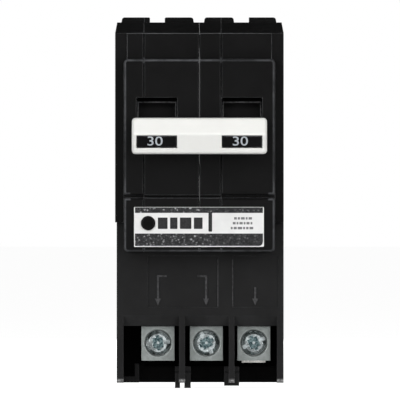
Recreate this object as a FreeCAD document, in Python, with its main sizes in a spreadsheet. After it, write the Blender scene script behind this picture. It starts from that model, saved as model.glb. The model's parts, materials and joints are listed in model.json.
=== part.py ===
"""Two-pole plug-on ground-fault circuit breaker, modelled as the separate pieces it comes apart into.

Row frame: +X to the right across the poles, -Y towards the front (handles), +Z towards the line end.
The origin lies on the back plane, midway between the poles, level with the load end of the case.
Depths are measured forward from the back plane, so a depth d is the coordinate Y = -d.
All lengths are millimetres and all angles are degrees.
"""

import FreeCAD
import Part
import Sketcher

import math
import os

from FreeCAD import Placement, Rotation, Vector

# ---------------------------------------------------------------- driving dimensions

SIZES = {
    # case envelope
    "case_half": 25.2, "pole_offset": 12.7, "line_end": 107.9, "pole_floor": 48.0,
    "shoulder_depth": 50.0, "face_depth": 58.0, "label_depth": 57.4, "groove_depth": 55.8,
    "line_bevel_z": 104.6, "line_bevel_depth": 42.0, "side_draft": 0.6, "wall": 1.8, "partition": 1.5,
    "seam_left": -16.6, "seam_right": 6.5, "seam_gap": 0.02, "seam_bevel": 0.3,
    # raised escutcheon and label block
    "face_half": 22.6, "face_low": 56.2, "face_high": 96.8, "label_low": 39.1, "label_high": 55.3,
    "corner_round": 1.3, "groove_round": 0.8, "rim_round": 0.9, "plateau_half": 21.6, "plateau_rise": 0.35,
    # handle window, stab slot and end tabs
    "window_half": 6.1, "window_low": 70.2, "window_high": 85.3,
    "slot_half": 2.25, "slot_low": 95.0, "slot_depth": 14.0,
    "tab_half": 11.0, "tab_inner": 1.75, "tab_rise": 1.9, "tab_depth": 14.0,
    # handle and tie
    "pivot_depth": 44.0, "pivot_z": 78.0, "handle_lean": 15.5, "handle_half": 5.85, "lever_half": 5.95,
    "drum_radius": 11.6, "drum_inner": 9.6, "drum_spread": 46.5,
    "shield_radius": 10.6, "shield_spread": 59.8,
    "trunnion_radius": 2.25, "trunnion_end": 8.2, "leg_in": 2.4, "leg_out": 5.0, "notch_radius": 1.35,
    "tip_reach": 24.2, "neck_half": 2.7, "tip_half": 1.75, "tip_lift": 0.5,
    "tie_half": 20.15, "tie_front": 24.3, "tie_back": 17.0, "tie_low": -3.5, "tie_high": 5.95,
    "tie_round": 1.15,
    # contact arm and contacts
    "arm_pivot": 7.7, "bead_radius": 1.3, "arm_half": 4.5, "arm_slot": 2.2, "arm_thick": 1.4,
    "arm_straight": 22.63, "arm_bend": 46.48, "arm_lift": 18.48, "arm_end": 7.5, "hook_reach": 15.0,
    "contact_radius": 2.5, "contact_thick": 1.2, "contact_depth": 17.0, "fixed_face": 94.3,
    # cradle, spring and trip parts
    "cradle_depth": 43.0, "cradle_z": 97.5, "cradle_half": 0.8, "cradle_pin": 1.4,
    "spring_depth": 42.5, "spring_z": 77.2, "spring_radius": 1.3, "spring_wire": 0.25, "spring_hook": 2.8,
    "latch_depth": 34.6, "latch_z": 60.0, "armature_z": 57.6, "sheet": 1.2, "armature_half": 5.4,
    "knuckle_depth": 44.2, "knuckle_z": 58.4, "knuckle_radius": 1.1,
    "strip_low": 53.9, "bar_depth": 12.0, "bar_z": 64.0, "bar_radius": 1.5,
    # ground-fault module
    "module_depth": 47.5, "module_left": 24.75, "module_right": 25.2,
    "board_depth": 4.0, "board_thick": 1.6,
    "coil_x": 4.2, "coil_depth": 22.0, "coil_low": 27.0, "coil_high": 41.0, "coil_radius": 5.5,
    "plunger_radius": 1.6, "rod_radius": 0.8,
    "core_x": -12.7, "core_depth": 31.5, "core_radius": 9.0, "core_bore": 4.4, "lead_radius": 1.2,
    "button_x": -15.3, "button_z": 47.8, "button_radius": 2.05,
    # terminal bays
    "ceiling": 17.0, "bay_back": 24.0, "bay_bevel": 3.3, "bay_bevel_depth": 2.4,
    "lip_back": 34.4, "lip_high": 4.8, "sill_high": 1.8, "stop_high": 5.6, "leg_back": 39.4,
    "end_chamfer": 0.6,
    "cord_half": 3.3, "cord_x": -19.0, "cord_depth": 13.6,
    # load terminals
    "lug_left": -12.4, "lug_middle": 2.1, "lug_right": 16.3,
    "lug_half": 4.95, "lug_low": 6.6, "lug_high": 16.9, "lug_back": 24.2, "lug_deep": 18.4, "lug_wall": 1.1,
    "lug_front_wall": 4.6, "screw_radius": 3.7, "screw_root": 3.3, "screw_pitch": 0.8, "screw_sink": 0.3,
    "screw_cone": 0.95, "screw_z": 11.9, "screw_tip": 33.95, "pad_depth": 32.7, "pad_half": 3.5,
    "tongue_depth": 25.35, "tongue_half": 3.6,
    # rivets
    "rivet_radius": 1.5, "rivet_head": 2.5,
}

doc = FreeCAD.newDocument("ground_fault_breaker")
sheet = doc.addObject("Spreadsheet::Sheet", "Sizes")
for row, (alias, number) in enumerate(SIZES.items(), start=1):
    sheet.set(f"A{row}", alias)
    sheet.set(f"B{row}", str(number))
    sheet.setAlias(f"B{row}", alias)
doc.recompute()


class Dim:
    """A size: its number together with the sheet formula that gives it, so arithmetic keeps both."""

    def __init__(self, number, formula):
        self.number, self.formula = float(number), formula

    def __add__(self, other):
        other = as_dim(other)
        return Dim(self.number + other.number, f"({self.formula} + {other.formula})")

    def __sub__(self, other):
        other = as_dim(other)
        return Dim(self.number - other.number, f"({self.formula} - {other.formula})")

    def __mul__(self, other):
        other = as_dim(other)
        return Dim(self.number * other.number, f"({self.formula} * {other.formula})")

    def __truediv__(self, other):
        other = as_dim(other)
        return Dim(self.number / other.number, f"({self.formula} / {other.formula})")

    def __radd__(self, other):
        return as_dim(other) + self

    def __rsub__(self, other):
        return as_dim(other) - self

    def __rmul__(self, other):
        return as_dim(other) * self

    def __neg__(self):
        return Dim(-self.number, f"(0 - {self.formula})")


def as_dim(value):
    return value if isinstance(value, Dim) else Dim(value, repr(float(value)))


def cosine(angle):
    angle = as_dim(angle)
    return Dim(math.cos(math.radians(angle.number)), f"cos({angle.formula})")


def sine(angle):
    angle = as_dim(angle)
    return Dim(math.sin(math.radians(angle.number)), f"sin({angle.formula})")


class Sheet:
    """S.wall is the Dim of the sheet's cell named wall."""

    def __getattr__(self, alias):
        return Dim(SIZES[alias], f"Sizes.{alias}")


S = Sheet()
BOUND = []  # every (object, property, Dim) bound to the sheet, compared with the built document at the end
NODES = []  # every finished sub-part, in the order it was made
CUTS = []  # every pocket, each of which must take something away


def bind(obj, prop, dim):
    dim = as_dim(dim)
    obj.setExpression(prop, dim.formula)
    BOUND.append((obj, prop, dim))


# ---------------------------------------------------------------- sketches and bodies

PLANES = {"side": "YZ_Plane", "front": "XZ_Plane", "plan": "XY_Plane"}


def rect(a_low, a_high, b_low, b_high):
    return [(a_low, b_low), (a_high, b_low), (a_high, b_high), (a_low, b_high)]


def disc(a, b, radius):
    return (a, b, radius)


class Piece:
    """A PartDesign body. Its features are sketched in one of three views:
    side (depth, z) grows along +X, front (x, z) grows forward, plan (x, depth) grows along +Z."""

    def __init__(self, label):
        self.body = doc.addObject("PartDesign::Body", label)
        self.body.Label = label
        self.label = label
        NODES.append(self.body)

    def sketch(self, view, at, loops):
        sk = self.body.newObject("Sketcher::SketchObject", f"{self.label}_sketch")
        plane = next(o for o in self.body.Origin.OriginFeatures if o.Role == PLANES[view])
        sk.AttachmentSupport = [(plane, "")]
        sk.MapMode = "FlatFace"
        bind(sk, "AttachmentOffset.Base.z", at)
        for loop in loops:
            self.draw(sk, view, loop)
        return sk

    def draw(self, sk, view, loop):
        turn = {"side": (-1, 1), "front": (1, 1), "plan": (1, -1)}[view]
        if isinstance(loop, tuple):
            centre = [as_dim(v) * t if t < 0 else as_dim(v) for v, t in zip(loop[:2], turn)]
            radius = as_dim(loop[2])
            place = Vector(centre[0].number, centre[1].number, 0)
            g = sk.addGeometry(Part.Circle(place, Vector(0, 0, 1), radius.number), False)
            self.pin(sk, g, 3, centre)
            c = sk.addConstraint(Sketcher.Constraint("Radius", g, radius.number))
            bind(sk, f"Constraints[{c}]", radius)
            return
        points = [[as_dim(v) * t if t < 0 else as_dim(v) for v, t in zip(p, turn)] for p in loop]
        flat = [Vector(p[0].number, p[1].number, 0) for p in points]
        first = sk.GeometryCount
        for i in range(len(flat)):
            sk.addGeometry(Part.LineSegment(flat[i], flat[(i + 1) % len(flat)]), False)
        for i in range(len(flat)):
            after = first + (i + 1) % len(flat)
            sk.addConstraint(Sketcher.Constraint("Coincident", first + i, 2, after, 1))
            self.pin(sk, first + i, 1, points[i])

    def pin(self, sk, geometry, point, place):
        for kind, dim in zip(("DistanceX", "DistanceY"), place):
            c = sk.addConstraint(Sketcher.Constraint(kind, -1, 1, geometry, point, dim.number))
            bind(sk, f"Constraints[{c}]", dim)

    def feature(self, kind, view, low, high, loops):
        sk = self.sketch(view, low, loops)
        made = self.body.newObject(f"PartDesign::{kind}", f"{self.label}_{kind.lower()}")
        made.Profile = sk
        bind(made, "Length", as_dim(high) - low)
        made.Reversed = kind == "Pocket"
        return made

    def pad(self, view, low, high, *loops):
        self.feature("Pad", view, low, high, loops)
        return self

    def pocket(self, view, low, high, *loops):
        made = self.feature("Pocket", view, low, high, loops)
        CUTS.append(made)
        return self

    def dress(self, kind, size, choose):
        """A Fillet or Chamfer of that size on the edges that choose picks."""
        doc.recompute()
        tip = self.body.Tip
        names = [f"Edge{i + 1}" for i, edge in enumerate(tip.Shape.Edges) if choose(edge)]
        if not names:
            raise ValueError(f"no edge of {self.label} to dress")
        made = self.body.newObject(f"PartDesign::{kind}", f"{self.label}_{kind.lower()}")
        made.Base = (tip, names)
        bind(made, "Radius" if kind == "Fillet" else "Size", size)
        doc.recompute()
        return self

    def place(self, x=0, depth=0, z=0, axis=Vector(1, 0, 0), angle=0):
        self.body.Placement = Placement(Vector(0, 0, 0), Rotation(axis, as_dim(angle).number))
        for name, value in (("x", x), ("y", -as_dim(depth)), ("z", z)):
            bind(self.body, f"Placement.Base.{name}", value)
        if as_dim(angle).number:
            bind(self.body, "Placement.Rotation.Angle", angle)
        return self


# ---------------------------------------------------------------- primitives and groups


def block(label, x, depth, z, node=False):
    """A Part box from three (low, high) pairs."""
    made = doc.addObject("Part::Box", label)
    spans = [(as_dim(low), as_dim(high)) for low, high in (x, depth, z)]
    for prop, (low, high) in zip(("Length", "Width", "Height"), spans):
        bind(made, prop, high - low)
    bind(made, "Placement.Base.x", spans[0][0])
    bind(made, "Placement.Base.y", -spans[1][1])
    bind(made, "Placement.Base.z", spans[2][0])
    return keep(made, label) if node else made


AXES = {"x": Rotation(Vector(0, 1, 0), 90), "depth": Rotation(Vector(1, 0, 0), 90), "z": Rotation()}


def rod(label, along, x, depth, z, radius, length, node=False):
    """A Part cylinder that starts at a point and runs along +X, forward or +Z."""
    made = doc.addObject("Part::Cylinder", label)
    made.Placement = Placement(Vector(0, 0, 0), AXES[along])
    bind(made, "Radius", radius)
    bind(made, "Height", length)
    for name, value in (("x", x), ("y", -as_dim(depth)), ("z", z)):
        bind(made, f"Placement.Base.{name}", value)
    return keep(made, label) if node else made


def keep(made, label):
    made.Label = label
    NODES.append(made)
    return made


def fuse(label, pieces, node=True):
    made = doc.addObject("Part::MultiFuse", label)
    made.Shapes = pieces
    return keep(made, label) if node else made


def cut(label, base, tool, node=True):
    made = doc.addObject("Part::Cut", label)
    made.Base, made.Tool = base, tool
    return keep(made, label) if node else made


def group(label, pieces):
    """Identical fasteners or plates that share a node as separate solids."""
    made = doc.addObject("Part::Compound", label)
    made.Links = pieces
    return keep(made, label)


def solid(label, shape):
    """A Part::Feature, for coils and bent wires, which no sketch feature makes."""
    made = doc.addObject("Part::Feature", label)
    made.Shape = shape
    return keep(made, label)


def at(x, depth, z):
    return Vector(as_dim(x).number, -as_dim(depth).number, as_dim(z).number)


def bent_path(points, radii):
    """Straight runs joined by tangent arcs, one radius for each inner corner."""
    edges, start = [], points[0]
    for i, radius in enumerate(radii, start=1):
        into = (points[i] - points[i - 1]).normalize()
        out = (points[i + 1] - points[i]).normalize()
        turn = into.getAngle(out)
        back = radius * math.tan(turn / 2)
        first, last = points[i] - into * back, points[i] + out * back
        inward = (out - into).normalize()
        centre = points[i] + inward * (radius / math.cos(turn / 2))
        middle = centre - inward * radius
        edges += [Part.LineSegment(start, first).toShape(), Part.Arc(first, middle, last).toShape()]
        start = last
    edges.append(Part.LineSegment(start, points[-1]).toShape())
    return Part.Wire(edges)


def tube(path, radius):
    first = path.OrderedEdges[0]
    heading = first.tangentAt(first.FirstParameter)
    ring = Part.Wire([Part.makeCircle(radius, first.valueAt(first.FirstParameter), heading)])
    return path.makePipeShell([ring], True, False)


def coil(length, radius, wire, turns):
    """A helical coil along +Z from the origin."""
    helix = Part.makeHelix(length / turns, length, radius)
    ring = Part.Wire([Part.makeCircle(wire, Vector(radius, 0, 0), Vector(0, 1, 0))])
    return Part.Wire(helix.Edges).makePipeShell([ring], True, True)


# ---------------------------------------------------------------- pole shells

RIVETS = [(45.8, 102.6), (47.0, 63.5), (5.0, 53.0), (24.0, 102.0)]  # (depth, z), clear of all moving parts
POLES = {"left": -S.pole_offset, "right": S.pole_offset}
TAB_MIDDLES = (0.1 - S.pole_offset, S.pole_offset - 0.4)


def pole_shell(label, closed, seam, bosses, outer):
    """One half-shell of a pole: closed by a wall at x = closed and open at its seam.
    bosses are (depth, z, radius, bore, reach): the boss grows from the wall to x = reach."""
    toward = 1 if as_dim(seam).number > as_dim(closed).number else -1
    skin = S.wall if outer else S.partition
    low, high = (closed, seam) if toward > 0 else (seam, closed)
    face_edge = -S.face_half * toward if outer else closed
    face_inner = face_edge + skin * toward
    wall_inner = closed + skin * toward

    def span(a, b):
        return (a, b) if as_dim(a).number < as_dim(b).number else (b, a)

    piece = Piece(label)
    outline = [(0, S.pole_floor), (0, S.line_end), (S.line_bevel_depth, S.line_end),
               (S.shoulder_depth, S.line_bevel_z), (S.shoulder_depth, S.pole_floor)]
    piece.pad("side", low, high, outline)
    f_low, f_high = span(face_edge, seam)
    root = S.shoulder_depth - 1
    piece.pad("side", f_low, f_high, [
        (root, S.face_low), (S.face_depth, S.face_low), (S.face_depth, S.face_high), (root, S.face_high)])
    lip = S.module_depth + 0.15
    piece.pad("side", f_low, f_high, [
        (root, S.label_high), (S.label_depth, S.label_high), (S.label_depth, S.label_low),
        (lip, S.label_low), (lip, S.pole_floor), (root, S.pole_floor)])
    piece.pad("side", f_low, f_high, [
        (root, S.face_low + 0.5), (S.groove_depth, S.face_low + 0.5),
        (S.groove_depth, S.label_high - 0.5), (root, S.label_high - 0.5)])
    round_front(piece, face_edge, outer)
    p_low, p_high = span(-S.plateau_half * toward if outer else closed, seam)
    piece.pad("side", p_low, p_high, [
        (root, S.face_high), (S.shoulder_depth + S.plateau_rise, S.face_high),
        (S.shoulder_depth + S.plateau_rise, S.line_bevel_z - 0.1), (root, S.line_bevel_z - 0.1)])

    for middle in TAB_MIDDLES:
        add_tab(piece, middle - S.tab_half, middle - S.tab_inner, low, high)
        add_tab(piece, middle + S.tab_inner, middle + S.tab_half, low, high)

    c_low, c_high = span(wall_inner, seam)
    w = S.wall
    cavity = [(w, S.pole_floor + w), (w, S.line_end - w), (S.line_bevel_depth - 0.7, S.line_end - w),
              (S.shoulder_depth - w, S.line_bevel_z - 1.3), (S.shoulder_depth - w, S.pole_floor + w)]
    piece.pocket("side", c_low, c_high, cavity)
    r_low, r_high = span(face_inner, seam)
    deep = S.shoulder_depth - w - 0.5
    piece.pocket("side", r_low, r_high, [
        (deep, S.face_low + w), (S.face_depth - w, S.face_low + w),
        (S.face_depth - w, S.face_high - w), (deep, S.face_high - w)])
    piece.pocket("side", r_low, r_high, [
        (deep, S.label_high - w), (S.label_depth - w, S.label_high - w),
        (S.label_depth - w, S.label_low + w),
        (lip + w, S.label_low + w), (lip + w, S.pole_floor + w), (deep, S.pole_floor + w)])

    for depth, z, radius, bore, reach in bosses:
        b_low, b_high = span(wall_inner - 0.3 * toward, reach)
        piece.pad("side", b_low, b_high, disc(depth, z, radius))
        h_low, h_high = span(wall_inner + 0.6 * toward, reach)
        piece.pocket("side", h_low, h_high, disc(depth, z, bore))
    for depth, z in RIVETS:
        b_low, b_high = span(wall_inner - 0.3 * toward, seam)
        piece.pad("side", b_low, b_high, disc(depth, z, S.rivet_radius + 1.2))
    piece.pocket("side", low - 1, high + 1, *[disc(d, z, S.rivet_radius + 0.05) for d, z in RIVETS])
    if outer:
        past_end = S.line_end + 0.2
        draft = [(closed, S.line_bevel_z), (closed + S.side_draft * toward, past_end), (closed, past_end)]
        piece.pocket("front", -1.0, S.shoulder_depth + 1, draft)
        s_low, s_high = span(closed - 1 * toward, closed + 0.9 * toward)
        piece.pocket("side", s_low, s_high, *[disc(d, z, S.rivet_head + 0.25) for d, z in RIVETS])
    return piece


def add_tab(piece, tab_low, tab_high, low, high):
    """The part of a line-end tab that lies on this shell. Its free ends slope in to rounded corners."""
    begins, ends = as_dim(tab_low).number, as_dim(tab_high).number
    if begins > as_dim(high).number - 0.5 or ends < as_dim(low).number + 0.5:
        return
    foot, top = S.line_end - 0.5, S.line_end + S.tab_rise
    slope = ((0.0, 0.5), (0.25, S.tab_rise), (0.5, S.tab_rise + 0.35), (0.95, S.tab_rise + 0.5))
    outline = []
    if begins < as_dim(low).number:
        outline += [(low, foot), (low, top)]
    else:
        outline += [(tab_low + inward, foot + rise) for inward, rise in ((0.0, 0.0), *slope)]
    if ends > as_dim(high).number:
        outline += [(high, top), (high, foot)]
    else:
        outline += [(tab_high - inward, foot + rise) for inward, rise in (*reversed(slope), (0.0, 0.0))]
    piece.pad("front", 0, S.tab_depth, outline)


def round_front(piece, edge_x, outer):
    """Rounds the front rims of the escutcheon and the label block, and on outer shells their corners."""
    def corner_at(*heights):
        def corner(edge):
            box = edge.BoundBox
            return (box.YLength > 1.5 and box.XLength < 0.01 and box.ZLength < 0.01
                    and abs(box.XMin - edge_x.number) < 0.01
                    and min(abs(box.ZMin - z.number) for z in heights) < 0.01)
        return corner

    if outer:
        piece.dress("Fillet", S.corner_round, corner_at(S.face_high, S.label_low))
        piece.dress("Fillet", S.groove_round, corner_at(S.face_low, S.label_high))

    def rim(edge):
        box = edge.BoundBox
        for front, end in ((S.face_depth, S.face_high), (S.label_depth, S.label_low)):
            level = box.YLength < 0.01 and abs(box.YMin + front.number) < 0.01
            across = box.ZLength < 0.01 and abs(box.ZMin - end.number) < 0.01
            beside = outer and abs((box.XMin + box.XMax) / 2 - edge_x.number) < S.corner_round.number
            if level and (across or beside):
                return True
        return False

    piece.dress("Fillet", S.rim_round, rim)


def bevel_seam(piece, seam, side):
    """A small bevel down a shell's front along its joint. side is +1 for the shell to the right of it."""
    bevel = S.seam_bevel
    fronts = (
        (S.label_depth, S.label_low, S.label_high),
        (S.face_depth, S.face_low, S.face_high),
        (S.shoulder_depth + S.plateau_rise, S.face_high, S.line_bevel_z),
    )
    for depth, low, high in fronts:
        piece.pocket("plan", low, high, [
            (seam, depth - bevel), (seam, depth + 0.3), (seam + (bevel + 0.3) * side, depth + 0.3)])


def trunnion_boss(reach):
    return (S.pivot_depth, S.pivot_z, 4.2, S.trunnion_radius + 0.05, reach)


def pin_boss(reach):
    return (S.cradle_depth, S.cradle_z, 2.9, S.cradle_pin + 0.05, reach)


def bar_boss(reach):
    return (S.bar_depth, S.bar_z, 3.0, S.bar_radius + 0.08, reach)


def make_pole_shells():
    left, right = POLES["left"], POLES["right"]
    hub = S.handle_half + 0.15
    gap = S.seam_gap / 2
    cover_left = pole_shell("left_pole_cover", -S.case_half, S.seam_left - gap,
                            [trunnion_boss(left - hub), bar_boss(-20.0)], outer=True)
    base_left = pole_shell("left_pole_base", -gap, S.seam_left + gap,
                           [trunnion_boss(left + hub), pin_boss(left + 1.6)], outer=False)
    cover_right = pole_shell("right_pole_cover", gap, S.seam_right - gap,
                             [trunnion_boss(S.seam_right - gap), pin_boss(S.seam_right - gap)], outer=False)
    base_right = pole_shell("right_pole_base", S.case_half, S.seam_right + gap,
                            [trunnion_boss(right + hub), pin_boss(right + 1.6), bar_boss(20.0)], outer=True)
    shells = {
        "left": (cover_left, base_left),
        "right": (cover_right, base_right),
    }
    for pole, (cover, base) in shells.items():
        x0 = POLES[pole]
        window = rect(x0 - S.window_half, x0 + S.window_half, S.window_low, S.window_high)
        # the right pole's seam runs just beside its window, so only its base is cut
        for piece in (cover, base) if pole == "left" else (base,):
            piece.pocket("front", S.face_depth - S.wall - 1, S.face_depth + 1, window)
        base.pocket("front", -1.0, S.slot_depth, rect(
            x0 - S.slot_half, x0 + S.slot_half, S.slot_low, S.line_end + 5))
        base.pocket("plan", S.pole_floor - 1, S.pole_floor + S.wall + 1, rect(
            x0 - 3.5, x0 + 3.5, S.knuckle_depth - 0.8, S.knuckle_depth + 0.8), disc(x0, 37.5, 1.8))
    for piece in (base_left, cover_right):
        piece.pocket("side", -2.0, 2.0, disc(S.bar_depth, S.bar_z, S.bar_radius + 0.08))
    cover_right.pocket("plan", S.pole_floor - 1, S.pole_floor + S.wall + 1, disc(
        S.coil_x, S.coil_depth, S.rod_radius + 0.4))
    for piece in (cover_left, base_left):
        piece.pocket("front", S.label_depth - S.wall - 1, S.label_depth + 1, disc(
            S.button_x, S.button_z, S.button_radius + 0.1))
    joints = (
        (cover_left, S.seam_left - gap, -1), (base_left, S.seam_left + gap, 1), (base_left, -gap, -1),
        (cover_right, gap, 1), (cover_right, S.seam_right - gap, -1), (base_right, S.seam_right + gap, 1),
    )
    for piece, seam, side in joints:
        bevel_seam(piece, seam, side)


def make_rivets():
    """Four tubular rivets run right through both poles, with rolled heads sunk in the side faces."""
    made = []
    reach = S.case_half - 0.35
    for i, (depth, z) in enumerate(RIVETS):
        parts = [rod(f"rivet_shank_{i}", "x", -reach, depth, z, S.rivet_radius, reach * 2)]
        for side in (-1, 1):
            start = -reach if side < 0 else reach - 0.5
            parts.append(rod(f"rivet_head_{i}_{side + 1}", "x", start, depth, z, S.rivet_head, 0.5))
        body = fuse(f"rivet_{i}", parts, node=False)
        dimples = [rod(f"rivet_dimple_{i}_{side}", "x", x, depth, z, 0.9, 1.4)
                   for side, x in enumerate((-reach - 0.4, reach - 1.0))]
        hollows = fuse(f"rivet_dimples_{i}", dimples, node=False)
        made.append(cut(f"rivet_rolled_{i}", body, hollows, node=False))
    group("case_rivets", made)


# ---------------------------------------------------------------- handles and handle tie


def make_handle(pole):
    """The moulded operating handle: window drum, two legs, trunnions and the lever."""
    x0 = POLES[pole]
    half, reach, lever_half = S.handle_half, S.arm_pivot, S.lever_half
    piece = Piece(f"{pole}_handle")
    far = 20.0
    # the drum's face, over a thinner shield that keeps dust out where the window is wider than the face
    for radius, angle in ((S.drum_radius, S.drum_spread), (S.shield_radius, S.shield_spread)):
        piece.pad("side", -half, half, disc(0, 0, radius), disc(0, 0, S.drum_inner))
        across, up = far * cosine(angle), far * sine(angle)
        piece.pocket("side", -half - 1, half + 1, [
            (0, 0), (across, up), (-far, far), (-far, -far), (across, -up)])

    def drum_rim(edge):
        return all(math.hypot(end.Y, end.Z) > S.drum_radius.number - 0.1 for end in edge.Vertexes)

    piece.dress("Fillet", 0.4, drum_rim)
    lift = S.tip_lift
    lever = [(S.drum_inner + 1, -S.neck_half - 0.5), (14.5, -S.neck_half), (S.tip_reach, lift - S.tip_half),
             (S.tip_reach, lift + S.tip_half), (14.5, S.neck_half), (S.drum_inner + 1, S.neck_half + 0.5)]
    piece.pad("side", -lever_half, lever_half, lever)
    leg = [(S.drum_inner + 0.5, -4.2), (S.drum_inner + 0.5, 4.2), (-reach, 2.6), (-reach, -2.6)]
    for low, high in ((-S.leg_out, -S.leg_in), (S.leg_in, S.leg_out)):
        piece.pad("side", low, high, leg)
        piece.pad("side", low, high, disc(-reach, 0, 2.6))
        piece.pad("side", low, high, disc(0, 0, 4.0))
    for low, high in ((-S.trunnion_end, -S.leg_in), (S.leg_in, S.trunnion_end)):
        piece.pad("side", low, high, disc(0, 0, S.trunnion_radius))
    piece.pocket("side", -half - 1, half + 1, disc(-reach, 0, S.notch_radius))
    # the notch opens half way between the arm's two ends of swing
    opening = S.arm_lift + 14.0 - S.handle_lean
    out = (-cosine(opening), sine(opening))
    across = (sine(opening), cosine(opening))
    corners = [(-6, 0), (6, 0), (6, 6), (-6, 6)]
    piece.pocket("side", -half - 1, half + 1, [
        (-reach + across[0] * a + out[0] * b, across[1] * a + out[1] * b) for a, b in corners])
    piece.place(x0, S.pivot_depth, S.pivot_z, angle=S.handle_lean)


def make_tie():
    """The white bar that joins both handles, with a window for each handle's rated tip."""
    piece = Piece("handle_tie")
    front, back = S.tie_front, S.tie_back
    low, high = S.tie_low, S.tie_high
    piece.pad("side", -S.tie_half, S.tie_half, [
        (back, low), (front, low), (front, high - 3.0), (back + 1.6, high), (back, high)])

    def long_edges(edge):
        box = edge.BoundBox
        return box.XLength > 30 and box.YMin < -(front.number - 0.1)

    piece.dress("Fillet", 0.9, long_edges)

    def end_edges(edge):
        box = edge.BoundBox
        outer = abs(abs(box.XMin) - S.tie_half.number) < 0.01 and box.XLength < 0.01
        return outer and box.YMin < -(back.number + 0.05)

    piece.dress("Fillet", S.tie_round, end_edges)
    room, lift = S.lever_half + 0.12, S.tip_lift
    for x0 in POLES.values():
        piece.pocket("front", back - 1, front - 1.2, rect(x0 - room, x0 + room, -2.75, lift + 2.25))
        piece.pocket("front", front - 2, front + 1, rect(x0 - room, x0 + room, lift - 1.98, lift + 1.98))
    piece.place(0, S.pivot_depth, S.pivot_z, angle=S.handle_lean)


# ---------------------------------------------------------------- contact arms and line terminals


def arm_pivot_point():
    """(depth, z) of the contact arms' pivot with the handles off."""
    lean = S.handle_lean
    return (S.pivot_depth - S.arm_pivot * cosine(lean), S.pivot_z + S.arm_pivot * sine(lean))


def make_contact_arm(pole):
    """A forked copper arm whose beads rock in the handle's notches, bent down at its contact end.
    In its own frame it runs backwards from the pivot, so its lengths are negative depths."""
    x0 = POLES[pole]
    depth, z = arm_pivot_point()
    half = S.arm_thick / 2
    straight = S.arm_straight
    piece = Piece(f"{pole}_contact_arm")
    down = (cosine(S.arm_bend), sine(S.arm_bend))

    def on_end(reach, above):
        """(depth, z) on the bent end, at a reach from the knee and a height above its middle plane."""
        return (-straight - down[0] * reach - down[1] * above, down[0] * above - down[1] * reach)

    miter = half * sine(S.arm_bend / 2) / cosine(S.arm_bend / 2)
    piece.pad("side", -S.arm_half, S.arm_half, [
        (0, -half), (0, half), on_end(miter, half), on_end(S.arm_end, half),
        on_end(S.arm_end, -half), on_end(-miter, -half)])
    for low, high in ((-S.arm_half, -S.arm_slot - 0.3), (S.arm_slot + 0.3, S.arm_half)):
        piece.pad("side", low, high, disc(0, 0, S.bead_radius))
    piece.pocket("plan", -3.0, 3.0, rect(-S.arm_slot - 0.3, S.arm_slot + 0.3, -13.0, 3.0))
    piece.pocket("plan", -3.0, 3.0, disc(0, -S.hook_reach, 0.75))
    piece.place(x0, depth, z, angle=S.arm_lift)
    tip = Piece(f"{pole}_moving_contact")
    tip.pad("plan", half + 0.01, half + S.contact_thick, disc(0, -4.0, S.contact_radius))
    knee_depth = depth - straight * cosine(S.arm_lift)
    knee_z = z + straight * sine(S.arm_lift)
    tip.place(x0, knee_depth, knee_z, angle=S.arm_lift - S.arm_bend)


def make_line_terminal(pole):
    """A copper jaw that grips the bus stab, and the strap that carries the fixed contact."""
    x0 = POLES[pole]
    piece = Piece(f"{pole}_line_jaw")
    for side in (-1, 1):
        outline = [(2.6, 2.3), (1.2, 4.4), (1.2, 12.0), (-0.05, 12.0),
                   (-0.05, 13.0), (2.3, 13.0), (2.3, 4.8), (3.4, 3.0)]
        leaf = [(x0 + across * side, depth) for across, depth in outline]
        piece.pad("plan", 96.6, S.line_end - S.wall - 0.3, leaf)
    piece.pad("plan", S.fixed_face + S.contact_thick, 96.8,
              rect(x0 - 4.0, x0 + 4.0, 10.0, S.contact_depth + 4))


def make_jaw_springs():
    """Steel clips that press the jaws' leaves together."""
    clips = []
    for pole, x0 in POLES.items():
        outside = block(f"{pole}_clip_outside", (x0 - 3.0, x0 + 3.0), (5.2, 13.8), (98.5, 104.5))
        inside = block(f"{pole}_clip_inside", (x0 - 2.4, x0 + 2.4), (5.0, 13.2), (98.0, 105.0))
        clips.append(cut(f"{pole}_clip", outside, inside, node=False))
    group("jaw_springs", clips)


def make_fixed_contacts():
    group("fixed_contacts", [
        rod(f"{pole}_fixed_button", "z", x0, S.contact_depth, S.fixed_face,
            S.contact_radius, S.contact_thick - 0.01)
        for pole, x0 in POLES.items()])


def make_arc_plates():
    """Three steel plates in each pole, notched for the contact arm, that split the arc."""
    plates = []
    for pole, x0 in POLES.items():
        for i in range(3):
            low = 85.4 + 2.7 * i
            plate = block(f"{pole}_plate_{i}", (x0 - 8.2, x0 + 8.2), (3.0, 18.0), (low, low + 1.0))
            notch = block(f"{pole}_plate_notch_{i}", (x0 - 5.3, x0 + 5.3), (6.6, 19.0), (low - 1, low + 2))
            plates.append(cut(f"{pole}_plate_cut_{i}", plate, notch, node=False))
    group("arc_plates", plates)


# ---------------------------------------------------------------- cradle, spring and trip unit


def make_cradle(pole):
    """The releasable lever: it hangs on a pin at the line end and latches on the armature."""
    x0 = POLES[pole]
    half = S.cradle_half
    latch = S.latch_z + 0.05
    outline = [(40.4, 98.0), (40.9, 90.0), (40.9, 75.6), (38.2, 70.0), (S.latch_depth, 63.0),
               (S.latch_depth, latch), (S.latch_depth + 2.6, latch), (39.0, 62.5), (43.6, 70.0),
               (46.2, 76.0), (46.2, 90.0), (45.6, 98.0)]
    piece = Piece(f"{pole}_cradle")
    piece.pad("side", x0 - half, x0 + half, outline)
    piece.pad("side", x0 - half, x0 + half, disc(S.cradle_depth, S.cradle_z, 3.0))
    piece.pocket("side", x0 - half - 1, x0 + half + 1, disc(S.cradle_depth, S.cradle_z, S.cradle_pin + 0.05),
                 disc(S.spring_depth, S.spring_z, 0.6))
    piece.pocket("side", x0 - half - 1, x0 + half + 1, disc(43.4, 86.5, 1.5))


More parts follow.
